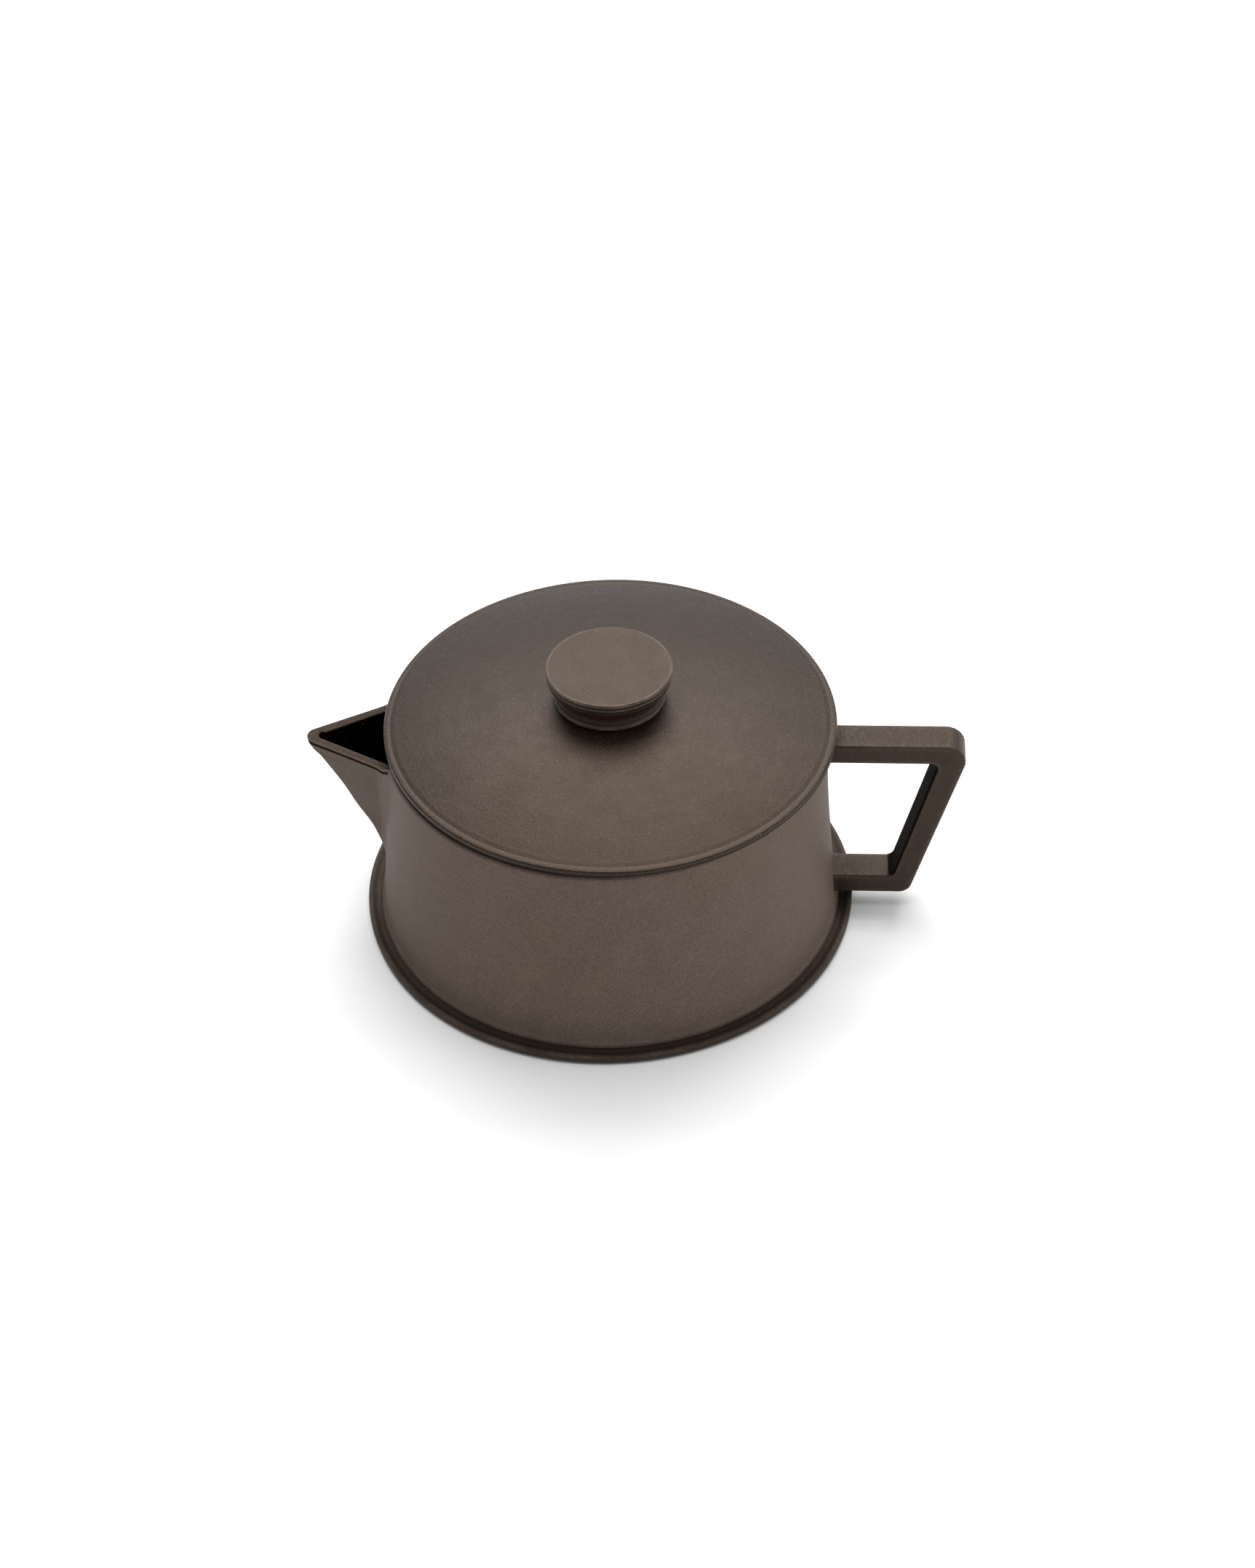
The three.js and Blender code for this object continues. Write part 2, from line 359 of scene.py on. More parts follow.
def rim_height(angle):
    """The rim dips from the drum's height to the spout's."""
    share = smooth_step((np.degrees(np.abs(angle)) - RIM_DIP_FROM) / RIM_DIP_OVER)
    return SPOUT_TOP + (RIM_TOP - SPOUT_TOP) * share


def rim_inset(depth, radius=RIM_ROUND):
    """How far a rounded rim edge lies back at a depth below the rim's top."""
    left = np.clip(radius - depth, 0, radius)
    return radius - np.sqrt(radius ** 2 - left ** 2)


def rim_levels(count):
    """Shares of a wall's height, packed closer under its rim."""
    below = np.linspace(0, 1 - RIM_SHARE, count)[:-1]
    return np.concatenate([below, 1 - RIM_SHARE * np.linspace(1, 0, RIM_ROWS) ** 1.4])


def fine_angles(degrees):
    """Angles from 0 to so many whole degrees, a tenth of a degree apart, in radians."""
    return np.radians(np.linspace(0, degrees, degrees * 10 + 1))


def last_crossing(angles, proud):
    """For each row, the angle at which a falling value passes zero, or 0 where it is never above."""
    rows = []
    for row in proud:
        above = np.nonzero(row > 0)[0]
        if len(above) == 0:
            rows.append(0.0)
            continue
        k = min(above[-1], len(angles) - 2)
        rows.append(angles[k] + (angles[k + 1] - angles[k]) * row[k] / (row[k] - row[k + 1]))
    return np.array(rows)


# ---- the drum ----

DRUM_SUNK = 0.1            # the wall's foot lies this deep in the foot plate
DRUM_ROWS = 64
DRUM_COLUMNS = 420
CROWDING = 0.6             # share taken off the columns' spacing at the spout, and added opposite it
RIM_LOWERED = 0.04         # the wall's rim stays this far under the spout's where they overlap
OVERLAP_TO = 20            # degrees from the spout's middle
OVERLAP_FADE = 4
CLEAR_OF_SPOUT = 0.45      # radians from the spout's middle
CLEAR_FADE = 0.6
DRUM_DRIFT = 0.10
COVE_REACH = 4.0
COVE_HEIGHT = 5.0
RIDGE_HEIGHT = 1.9
RIDGE_REACH = 0.16
RIDGE_WIDTH = 0.55


def drum():
    """The turned wall, notched where the channel passes. Each column runs from the foot up the outside,
    over the rim and down the inside. The columns start and end on the channel's edge."""
    bottom = FOOT_TOP - DRUM_SUNK
    levels = rim_levels(DRUM_ROWS)
    probe = fine_angles(24)
    heights = bottom + levels * (SPOUT_TOP - bottom)
    notch = inner_skin(probe[None, :], heights[:, None]) - wall_radius(heights)[:, None]
    start = last_crossing(probe, notch)[:, None]
    share = np.linspace(0, 1, DRUM_COLUMNS)[None, :]
    spread = share - CROWDING * np.sin(2 * math.pi * share) / (2 * math.pi)
    angle = start + spread * (2 * math.pi - 2 * start)
    from_spout = np.minimum(angle, 2 * math.pi - angle)
    lowered = RIM_LOWERED * (1 - smooth_step((np.degrees(from_spout) - OVERLAP_TO) / OVERLAP_FADE))
    top = rim_height(from_spout) - lowered
    z = bottom + levels[:, None] * (top - bottom)
    inset = rim_inset(top - z)
    outer = wall_radius(z) - inset
    inner = inner_skin(from_spout, z, -inset)
    middle = (outer + inner) / 2
    away = smooth_step((from_spout - CLEAR_OF_SPOUT) / CLEAR_FADE)
    ridge = slip_ridge(angle, z) * away
    outer = np.maximum(outer, middle) + waver(angle, seed=4, size=DRUM_DRIFT) * away + ridge
    cove = COVE_REACH * np.clip(1 - (z - bottom) / COVE_HEIGHT, 0, 1) ** 2 * away
    inner = np.minimum(inner, middle) - cove
    loop = np.concatenate([outer, inner[::-1]])
    heights = np.concatenate([z, z[::-1]])
    around = np.concatenate([angle, angle[::-1]])
    points = np.stack([-loop * np.cos(around), -loop * np.sin(around), heights], -1)
    faces = sheet_faces(*loop.shape, wrap_rows=True)
    return finish_mesh("drum_wall", points.reshape(-1, 3), faces, 60)


def slip_ridge(angle, z):
    """The uneven bead of slip left along the foot of the wall."""
    height = FOOT_TOP + RIDGE_HEIGHT + 0.35 * np.sin(5 * angle + 1) + 0.2 * np.sin(13 * angle)
    grain = 0.5 + 0.28 * np.sin(31 * angle + 2) + 0.22 * np.sin(77 * angle) + 0.2 * np.sin(143 * angle + 4)
    strength = RIDGE_REACH * np.clip(grain, 0, 1.2) * (0.55 + 0.45 * np.sin(angle * 2 + 0.6))
    return strength * np.exp(-((z - height) / RIDGE_WIDTH) ** 2)


# ---- the spout ----

GROOVE_DEPTH = 0.50
GROOVE_BELOW_RIM = 1.05
GROOVE_WIDTH = 0.26
# painted shade along the lower side of the groove under the spout's rim
GROOVE_SHADE_BELOW_RIM = GROOVE_BELOW_RIM + 0.45
GROOVE_SHADE_WIDTH = 0.40
SPOUT_ROWS = 72
SPOUT_COLUMNS = 201
SPOUT_CROWDING = 1.25      # above 1, the columns stand closer at the nose
KEEL_PROUD = 0.05          # the trough starts where its keel stands this far out of the wall
SPOUT_PROUD = 0.03         # the trough's outer face lies this far outside the shared skin
SKIRT_END = 0.04           # the skirt ends where the V stands out less than this
NARROWEST_SKIRT = math.radians(0.4)
SKIRT_SUNK = 0.37          # its edges are drawn back this far, into the wall
SUNK_SIDE = 0.06           # share of the half width, at each side, that is drawn back
SUNK_BOTTOM = 0.03         # share of the height, at the bottom, that is drawn back
SLIP = 0.32                # how deep the skirt's back lies in the wall
RISE_FROM = 50.0           # above this height the rows follow the rim's dip
THINNEST = 0.01


def paint_groove_shade(piece):
    """Painted shade on the lower side of the groove under the spout's rim, added to the painted-shade mark.
    """
    marks = piece.data.attributes["painted_shade"].data
    for point, mark in zip(piece.data.vertices, marks):
        x, y, z = point.co / MM
        if point.normal.x * x + point.normal.y * y > 0:
            depth = rim_height(np.array([math.atan2(y, -x)]))[0] - z
            groove_shade = math.exp(-((depth - GROOVE_SHADE_BELOW_RIM) / GROOVE_SHADE_WIDTH) ** 2)
            mark.value = max(mark.value, groove_shade)


def spout():
    """The spout's trough: outer skin, rounded rim, channel, and a thin skirt that runs out on the wall.
    Rows go up from where the keel leaves the wall, columns go across from skirt to skirt."""
    heights = np.linspace(8, 40, 321)
    proud = outer_skin(np.zeros(1), heights[:, None])[:, 0] - wall_radius(heights)
    low = heights[np.nonzero(proud > KEEL_PROUD)[0][0]]
    levels = rim_levels(SPOUT_ROWS)
    nominal = (low + levels * (SPOUT_TOP - low))[:, None]
    probe = fine_angles(32)
    standing = outer_skin(probe[None, :], nominal) - wall_radius(nominal) - SKIRT_END
    skirt = np.maximum(last_crossing(probe, standing), NARROWEST_SKIRT)[:, None]
    share = np.linspace(-1, 1, SPOUT_COLUMNS)[None, :]
    share = np.sign(share) * np.abs(share) ** SPOUT_CROWDING
    angle = skirt * share
    rise = np.clip((nominal - RISE_FROM) / (SPOUT_TOP - RISE_FROM), 0, 1) ** 2
    z = nominal + (rim_height(angle) - SPOUT_TOP) * rise
    depth = rim_height(angle) - z
    inset = rim_inset(depth)
    groove = GROOVE_DEPTH * np.exp(-((depth - GROOVE_BELOW_RIM) / GROOVE_WIDTH) ** 2)
    outer = outer_skin(angle, z, rim_inset(depth, OUTER_RIM_ROUND) + groove) + SPOUT_PROUD
    at_side = smooth_step((np.abs(share) - (1 - SUNK_SIDE)) / SUNK_SIDE)
    at_bottom = smooth_step(1 - levels[:, None] / SUNK_BOTTOM)
    outer = outer - SKIRT_SUNK * np.clip(at_side + at_bottom, 0, 1)
    back = np.maximum(inner_skin(angle, z, -inset), wall_radius(z) - SLIP - inset)
    back = np.minimum(back, outer - THINNEST)
    ring = np.concatenate([outer, back[:, ::-1]], 1)
    around = np.concatenate([angle, angle[:, ::-1]], 1)
    up = np.concatenate([z, z[:, ::-1]], 1)
    points = np.stack([-ring * np.cos(around), -ring * np.sin(around), up], -1)
    rows, columns = ring.shape
    faces = sheet_faces(rows, columns, wrap_columns=True)
    half = columns // 2
    for first in (0, (rows - 1) * columns):
        last = first + columns - 1
        faces += [[first + j, first + j + 1, last - 1 - j, last - j] for j in range(half - 1)]
    piece = finish_mesh("spout_trough", points.reshape(-1, 3), faces, 60)
    paint_groove_shade(piece)
    return piece


# ---- the foot ----

def foot():
    """The plate under the pot, with a rolled lip round its flange and a shallow dip inside the lip."""
    lip = FOOT_RADIUS - 1.3
    profile = outline(
        ((0, 0), 0),
        ((FOOT_RADIUS, 0), 1.9),
        ((FOOT_RADIUS, FOOT_TOP), 0.95),
        ((lip + 0.25, FOOT_TOP - 0.02), 0.3),
        ((lip - 1.3, FOOT_TOP - 0.42), 1.2),
        ((BASE_RADIUS + 0.2, FOOT_TOP - 0.3), 1.0),
        ((BASE_RADIUS - 3, FOOT_TOP), 0.5),
        ((0, FOOT_TOP), 0),
        step=1.0,
    )
    return turned("foot_plate", profile, 360, 0.0, seed=9, drift=0.14)


# ---- handle ----

HANDLE_WIDTH = HANDLE_HIGH[1] - HANDLE_LOW[1]
ARM = 6.9
GRIP_REACH = HANDLE_HIGH[0]
STRAP_EDGE = 0.9
ROOT_DEPTH = 1.6
GRIP_SLANT = 18.1
GRIP_DEPTH = 10.5
INNER_SLANT = 12.9
CORNER_PAST_GRIP = 1.8     # where the sharp outer corner would be, past the rounded one
OUTER_ROUNDS = (6.2, 4.0)
INNER_ROUNDS = (2.0, 3.0)
STRAP_STEPS = (44, 14, 72, 14, 30)
FLARE = 0.55
FLARE_LENGTH = 0.45
FLARE_FULL_DEPTH = 0.2     # inside the wall
FLAT_STEPS = 6


def straight(a, b, count):
    """Points from a to b."""
    return [np.array(a) + (np.array(b) - a) * t for t in np.linspace(0, 1, count)]


def rounded_corner(before, at, after, radius, count):
    """Points on the round of one corner of a polyline."""
    before, at, after = (np.array(p, float) for p in (before, at, after))
    back, ahead = before - at, after - at
    back, ahead = back / np.linalg.norm(back), ahead / np.linalg.norm(ahead)
    half = math.acos(back @ ahead) / 2
    centre = at + (back + ahead) / np.linalg.norm(back + ahead) * radius / math.sin(half)
    start, end = (at + way * radius / math.tan(half) - centre for way in (back, ahead))
    points = [start * (1 - t) + end * t for t in np.linspace(0, 1, count)]
    return [centre + p / np.linalg.norm(p) * radius for p in points]


def strap_side(corner_points, rounds, counts):
    """One side of the strap in XZ: top arm, corner, grip, corner, low arm."""
    root_top, top, low, root_low = corner_points
    first = rounded_corner(root_top, top, low, rounds[0], counts[1])
    second = rounded_corner(top, low, root_low, rounds[1], counts[3])
    return np.array(
        straight(root_top, first[0], counts[0])[:-1] + first
        + straight(first[-1], second[0], counts[2])[1:-1] + second
        + straight(second[-1], root_low, counts[4])[1:]
    )


def strap_section(depth, half_width, edge):
    """A rounded rectangle, as (depth, sideways) points one way round."""
    corners_at = ((depth - edge, half_width - edge), (edge, half_width - edge),
                  (edge, edge - half_width), (depth - edge, edge - half_width))
    corner_points = []
    for k, (along, side) in enumerate(corners_at):
        turn = (k + np.linspace(0, 1, 7)) * math.pi / 2
        corner_points.append(np.stack([along + edge * np.cos(turn), side + edge * np.sin(turn)], -1))
    points = []
    for here, ahead in zip(corner_points, corner_points[1:] + corner_points[:1]):
        flat = np.linspace(here[-1], ahead[0], FLAT_STEPS + 1)[1:-1]
        points += [here, flat]
    return np.concatenate(points)


def handle():
    """The strap: an outer and an inner line in side view, joined by rounded sections all along, and
    flared where it meets the wall."""
    top, low = HANDLE_HIGH[2], HANDLE_LOW[2]
    root_top = wall_radius(top - ARM / 2) - ROOT_DEPTH
    root_low = wall_radius(low + ARM / 2) - ROOT_DEPTH
    outer_corner = GRIP_REACH + CORNER_PAST_GRIP
    inner_corner = outer_corner - GRIP_DEPTH
    outer_points = ((root_top, top), (outer_corner, top), (outer_corner - GRIP_SLANT, low), (root_low, low))
    inner_points = (
        (root_top, top - ARM),
        (inner_corner, top - ARM),
        (inner_corner - INNER_SLANT, low + ARM),
        (root_low, low + ARM),
    )
    outer = strap_side(outer_points, OUTER_ROUNDS, STRAP_STEPS)
    inner = strap_side(inner_points, INNER_ROUNDS, STRAP_STEPS)
    loops = []
    for a, b in zip(inner, outer):
        depth = np.linalg.norm(b - a)
        across = (b - a) / depth
        section = strap_section(depth, HANDLE_WIDTH / 2, STRAP_EDGE)
        loops.append([(a[0] + across[0] * s, y, a[1] + across[1] * s) for s, y in section])
    loops = np.array(loops)
    rows, columns, _ = loops.shape
    middle = (inner + outer) / 2
    away = loops - np.stack([middle[:, 0], np.zeros(rows), middle[:, 1]], -1)[:, None, :]
    away[:, :, 0] = 0
    away = away / np.maximum(np.linalg.norm(away, axis=2, keepdims=True), 1e-6)
    clear = np.hypot(loops[:, :, 0], loops[:, :, 1]) - wall_radius(loops[:, :, 2])
    flare = FLARE * np.exp(-np.clip(clear + FLARE_FULL_DEPTH, 0, None) / FLARE_LENGTH)
    points = (loops + away * flare[:, :, None]).reshape(-1, 3)
    faces = sheet_faces(rows, columns, wrap_columns=True)
    faces.append(list(range(columns))[::-1])
    faces.append([(rows - 1) * columns + j for j in range(columns)])
    return finish_mesh("strap_handle", points, faces, 50)


# ---- lid ----

DOME_RISE = 10.5
LAND = 18.5                # radius of the flat land under the knob
LID_THICKNESS = 3.4
LID_EDGE = 2.95
ALMOST_FLAT = 40           # round of the corners that only sample the dome's curve
# painted shade on the lower part of the lid's edge, over the seam with the pot
SEAM_SHADE_TOP = 2.7        # above the lid's seat
SEAM_SHADE_FADE = 0.9
SEAM_SHADE_REACH = 0.8
COLLAR_THICKNESS = 3.4
COLLAR_GAP = 0.1


def dome_height(r):
    """Height of the lid's upper face at a radius."""
    return LID_LOW[2] + LID_EDGE + DOME_RISE * (1 - (np.maximum(r, LAND) / LID_RADIUS) ** 2)


def lid():
    """The dome, its flat land, and an edge with a low lip, a soft hollow inside the lip, and an underside
    that lifts clear of the wall's rim."""
    seat = LID_LOW[2]
    edge_top = seat + LID_EDGE
    top = [((r, dome_height(r)), ALMOST_FLAT) for r in (63, 58, 52, 46, 40, 34, 28, 23)]
    under = [((r, dome_height(r) - LID_THICKNESS), ALMOST_FLAT) for r in (23, 28, 34, 40, 46, 52)]
    profile = outline(
        ((0, dome_height(0) - LID_THICKNESS), 0),
        ((LAND, dome_height(0) - LID_THICKNESS), 0),
        *under,
        ((58.5, dome_height(60) - LID_THICKNESS), 0.6),
        ((COLLAR_RADIUS - 3.2, seat + 0.2), 1.0),
        ((COLLAR_RADIUS + 0.5, seat), 0.3),
        ((LID_RADIUS - 4.0, seat), 0.8),
        ((LID_RADIUS - 1.1, seat + 1.1), 0.4),
        ((LID_RADIUS, seat + 1.40), 0.2),
        ((LID_RADIUS, edge_top + 0.12), 1.0),
        ((LID_RADIUS - 1.3, edge_top + 0.44), 0.6),
        ((LID_RADIUS - 2.1, edge_top + 0.53), 0.8),
        ((LID_RADIUS - 3.5, dome_height(LID_RADIUS - 3.5)), 2.0),
        *top,
        ((LAND, dome_height(0)), 0),
        ((0, dome_height(0)), 0),
        step=1.2,
    )
    piece = turned("lid_dome", profile, 360, LID_X, seed=21, drift=0.12)
    paint_seam_shade(piece)
    return piece


def paint_seam_shade(piece):
    """Painted shade on the lower part of the lid's edge, next to the seam between the lid and the pot."""
    marks = piece.data.attributes["painted_shade"].data
    for point, mark in zip(piece.data.vertices, marks):
        x, y, z = point.co / MM
        if math.hypot(x - LID_X, y) > LID_RADIUS - SEAM_SHADE_REACH:
            height = z - LID_LOW[2]
            mark.value = max(mark.value, smooth_step((SEAM_SHADE_TOP - height) / SEAM_SHADE_FADE))


def collar():
    """The locating ring under the lid."""
    inner = COLLAR_RADIUS - COLLAR_THICKNESS
    low, high = COLLAR_LOW[2], LID_LOW[2] - COLLAR_GAP
    profile = outline(
        ((inner, high), 0),
        ((inner, low), 1.2),
        ((COLLAR_RADIUS, low), 1.2),
        ((COLLAR_RADIUS, high), 0),
        ((inner, high), 0),
        step=0.8,
    )
    return turned("lid_collar_ring", profile, 256, LID_X, seed=33, drift=0.06)


def knob():
    """A flat button on a waisted neck, with a rolled bead where it meets the lid."""
    base = dome_height(0) - 0.05
    top = KNOB_HIGH[2]
    profile = outline(
        ((0, base), 0),
        ((16.5, base), 0.1),
        ((17.3, base + 0.25), 0.5),
        ((17.2, base + 1.3), 0.8),
        ((16.1, base + 2.1), 0.5),
        ((15.9, base + 3.3), 1.6),
        ((16.6, base + 5.0), 2.0),
        ((18.0, base + 6.4), 2.0),
        ((KNOB_RADIUS - 0.5, base + 7.9), 2.0),
        ((KNOB_RADIUS - 0.1, base + 9.6), 0.5),
        ((KNOB_RADIUS - 0.35, base + 10.1), 0.25),
        ((KNOB_RADIUS, top - 0.75), 0.3),
        ((KNOB_RADIUS - 0.3, top), 0.7),
        ((KNOB_RADIUS - 3, top - 0.03), 3),
        ((0, top), 0),
        step=0.4,
    )
    return turned("lid_button", profile, 256, LID_X, seed=40, drift=0.10)


# ---- materials ----

class Nodes:
    """Short calls for building one material's node tree."""

    def __init__(self, name):
        self.material = bpy.data.materials.new(name)
        self.material.use_nodes = True
        self.tree = self.material.node_tree
        self.tree.nodes.clear()

    def add(self, kind, inputs=None, **settings):
        """A new node. Each input is either a socket to link or a value."""
        node = self.tree.nodes.new(kind)
        for key, value in settings.items():
            setattr(node, key, value)
        for key, value in (inputs or {}).items():
            if isinstance(value, bpy.types.NodeSocket):
                self.tree.links.new(value, node.inputs[key])
            else:
                node.inputs[key].default_value = value
        return node

    def math(self, operation, a, b=0.0, clamp=False):
        return self.add("ShaderNodeMath", {0: a, 1: b}, operation=operation, use_clamp=clamp).outputs[0]

    def noise(self, vector, scale, detail=2.0, rough=0.5):
        inputs = {"Vector": vector, "Scale": scale, "Detail": detail, "Roughness": rough}
        node = self.add("ShaderNodeTexNoise", inputs)
        return node.outputs["Fac"]

    def between(self, value, low, high, out_low=0.0, out_high=1.0):
        """Takes low to out_low and high to out_high, smoothly, and holds still past both."""
        node = self.add(
            "ShaderNodeMapRange",
            {"Value": value, "From Min": low, "From Max": high, "To Min": out_low, "To Max": out_high},
            interpolation_type="SMOOTHSTEP",
        )
        return node.outputs["Result"]

    def mix(self, share, a, b, blend="MIX"):
        """Colour a with a share of colour b."""
        node = self.add("ShaderNodeMix", data_type="RGBA", blend_type=blend)
        for socket, value in ((node.inputs[0], share), (node.inputs[6], a), (node.inputs[7], b)):
            if isinstance(value, bpy.types.NodeSocket):
                self.tree.links.new(value, socket)
            else:
                socket.default_value = value
        return node.outputs[2]


PALE_CLAY = (0.30, 0.25, 0.20)
# near-black: the colour of painted shade on down and inward faces, groove, seam, pits, channel and grip
# inside, and of the darker upper faces
NEAR_BLACK = (0.0015, 0.0010, 0.0008)
# painted shade colour for the inner faces of the wall
INSIDE_SHADE_CLAY = (0.022, 0.016, 0.012)
WARM_SHEEN = (1.0, 0.73, 0.56, 1)

# Scales of the patterns, per metre.
PATCHES = 24
CLOUDS = 110
FINE = 3000
GRIT = 1100
GRAINS = 2300
SPECKS = 760
PITS = 85
RUBS = 1300
RINGS = 300
STROKES = 1300

SPECK_STRENGTH = 0.32
PIT_SHADE = 0.85
BRUSHED_STRETCH = (1.0, 0.12, 1.0)
DARKENED_ROUGHNESS = 0.5


def sandy_tone(n, warm, cool, patches, clouds, fine, grit):
    """Patches of two tones, made lighter and darker by clouds, sand and grit."""
    tone = n.mix(n.between(patches, 0.36, 0.64), (*warm, 1), (*cool, 1))
    value = n.between(clouds, 0.3, 0.7, 0.95, 1.05)
    value = n.math("MULTIPLY", value, n.between(fine, 0.3, 0.7, 0.64, 1.36))
    value = n.math("MULTIPLY", value, n.between(grit, 0.3, 0.7, 0.97, 1.03))
    shade = n.add("ShaderNodeCombineColor", {0: value, 1: value, 2: value}).outputs[0]
    return n.mix(1.0, tone, shade, "MULTIPLY")


def speckled(n, place, colour, grain):
    """Pale sand grains all over, and fewer, larger pale specks."""
    grains = n.math("MULTIPLY", n.between(n.noise(place, GRAINS, 2, 0.6), 0.40, 0.72), grain)
    colour = n.mix(grains, colour, (*PALE_CLAY, 1))
    cells = n.add("ShaderNodeTexVoronoi", {"Vector": place, "Scale": SPECKS, "Randomness": 1.0})
    chance = n.add("ShaderNodeSeparateColor", {0: cells.outputs["Color"]}).outputs[0]
    near = n.between(cells.outputs["Distance"], 0.09, 0.18, 1, 0)
    specks = n.math("MULTIPLY", near, n.between(chance, 0.5, 1.0))
    return n.mix(n.math("MULTIPLY", specks, SPECK_STRENGTH), colour, (*PALE_CLAY, 1))


def small_pits(n, place):
    """1 in a few small round pits, and 0 elsewhere."""
    cells = n.add("ShaderNodeTexVoronoi", {"Vector": place, "Scale": PITS, "Randomness": 1.0})
    chance = n.add("ShaderNodeSeparateColor", {0: cells.outputs["Color"]}).outputs[1]
    near = n.between(cells.outputs["Distance"], 0.02, 0.04, 1, 0)
    return n.math("MULTIPLY", near, n.between(chance, 0.90, 0.92))


def turning_rings(n, place, patches):
    """Rings about the lid's axis, which come and go with the patches."""
    axis = (LID_X * MM, 0, 0)
    spoke = n.add("ShaderNodeVectorMath", {0: place, 1: axis}, operation="SUBTRACT").outputs[0]
    flat = n.add("ShaderNodeVectorMath", {0: spoke, 1: (1, 1, 0)}, operation="MULTIPLY").outputs[0]
    radius = n.add("ShaderNodeVectorMath", {0: flat}, operation="LENGTH").outputs["Value"]
    inputs = {"W": radius, "Scale": RINGS, "Detail": 2.0}
    turning = n.add("ShaderNodeTexNoise", inputs, noise_dimensions="1D")
    return n.math("MULTIPLY", turning.outputs["Fac"], n.between(patches, 0.45, 0.65))


def brush_strokes(n, place):
    """Noise drawn out along Y."""
    inputs = {0: place, 1: BRUSHED_STRETCH}
    stretched = n.add("ShaderNodeVectorMath", inputs, operation="MULTIPLY").outputs[0]
    return n.noise(stretched, STROKES, 2, 0.6)


def clay(name, warm, cool, roughness, specular, wear_and_highlight, top_wear_and_light=0.0, top_darkening=0.0, painted_shade_strength=0.99,
         grain=0.0, rings=0.0, brushed=0.0):
    """Unglazed dark stoneware: patches of two tones, fine sandy grain, pale specks, pits with painted shade
    in them, and paler clay on edges (wear_and_highlight) and upper faces (top_wear_and_light): partly
    rubbed wear, partly painted highlight and painted top light. Inner and lower faces get painted shade
    (painted_shade_strength), and upper faces are made darker (top_darkening). grain is how strongly single
    pale grains show. rings and brushed are heights in millimetres."""
    n = Nodes(name)
    coordinates = n.add("ShaderNodeTexCoord")
    place = coordinates.outputs["Object"]
    facing_up = n.add("ShaderNodeSeparateXYZ", {0: coordinates.outputs["Normal"]}).outputs[2]
    edge = n.add("ShaderNodeAttribute", attribute_name="edge").outputs["Fac"]
    painted_shade = n.add("ShaderNodeAttribute", attribute_name="painted_shade").outputs["Fac"]
    patches = n.noise(place, PATCHES, 3, 0.55)
    clouds = n.noise(place, CLOUDS, 3, 0.6)
    fine = n.noise(place, FINE, 2, 0.7)
    grit = n.noise(place, GRIT, 2, 0.6)

    colour = sandy_tone(n, warm, cool, patches, clouds, fine, grit)
    colour = speckled(n, place, colour, grain)
    rubs = n.between(n.noise(place, RUBS, 3, 0.8), 0.36, 0.64, 0.45, 1)
    broken_rubs = n.math("MULTIPLY", rubs, n.between(clouds, 0.4, 0.6, 0.4, 1))
    upper = n.math("MULTIPLY", n.between(facing_up, 0.80, 0.98), n.between(rubs, 0, 1, 0.5, 1))
    # paler convex edges: partly rubbed wear, partly painted highlight
    wear_and_highlight_share = n.math("MULTIPLY", n.math("MULTIPLY", edge, broken_rubs), wear_and_highlight)
    # paler upper faces: partly rubbed wear, partly painted top light
    wear_and_highlight_share = n.math("ADD", wear_and_highlight_share, n.math("MULTIPLY", upper, top_wear_and_light), clamp=True)
    colour = n.mix(wear_and_highlight_share, colour, (*PALE_CLAY, 1))
    # upper faces made darker, towards near-black
    colour = n.mix(n.math("MULTIPLY", upper, top_darkening), colour, (*NEAR_BLACK, 1))
    pits = small_pits(n, place)
    # painted shade in the pits: their insides are darkened towards near-black
    colour = n.mix(n.math("MULTIPLY", pits, PIT_SHADE), colour, (*NEAR_BLACK, 1))
    # painted shade: faces that look down or at the pot's axis are darkened towards near-black
    colour = n.mix(n.math("MULTIPLY", painted_shade, painted_shade_strength), colour, (*NEAR_BLACK, 1))

    height = n.math("MULTIPLY", fine, 0.08)
    height = n.math("ADD", height, n.math("MULTIPLY", grit, 0.06))
    height = n.math("ADD", height, n.math("MULTIPLY", clouds, 0.08))
    height = n.math("SUBTRACT", height, n.math("MULTIPLY", pits, 0.2))
    if rings > 0:
        height = n.math("ADD", height, n.math("MULTIPLY", turning_rings(n, place, patches), rings))
    if brushed > 0:
        brushed_upper = n.math("MULTIPLY", upper, brushed)
        height = n.math("ADD", height, n.math("MULTIPLY", brush_strokes(n, place), brushed_upper))
    bump = n.add("ShaderNodeBump", {"Height": height, "Strength": 1.0, "Distance": MM}).outputs[0]

    rough = n.between(clouds, 0.3, 0.7, roughness - 0.03, roughness + 0.04)
    rough = n.math("ADD", rough, n.between(fine, 0.3, 0.7, -0.11, 0.11))
    rough = n.math("ADD", rough, n.math("MULTIPLY", upper, top_darkening * DARKENED_ROUGHNESS))
    rough = n.math("ADD", rough, n.math("MULTIPLY", painted_shade, DARKENED_ROUGHNESS), clamp=True)
    shader = n.add("ShaderNodeBsdfPrincipled", {
        "Base Color": colour,
        "Roughness": rough,
        "Normal": bump,
        "IOR": 1.5,
        "Specular IOR Level": specular,
        "Specular Tint": WARM_SHEEN,
    })
    n.add("ShaderNodeOutputMaterial", {"Surface": shader.outputs[0]})
    return n.material


def wall_clay():
    return clay("wall_clay", (0.1200, 0.0890, 0.0706), (0.1205, 0.0890, 0.0745), 0.58, specular=0.09,
                wear_and_highlight=0.07, top_darkening=0.62, grain=0.05)


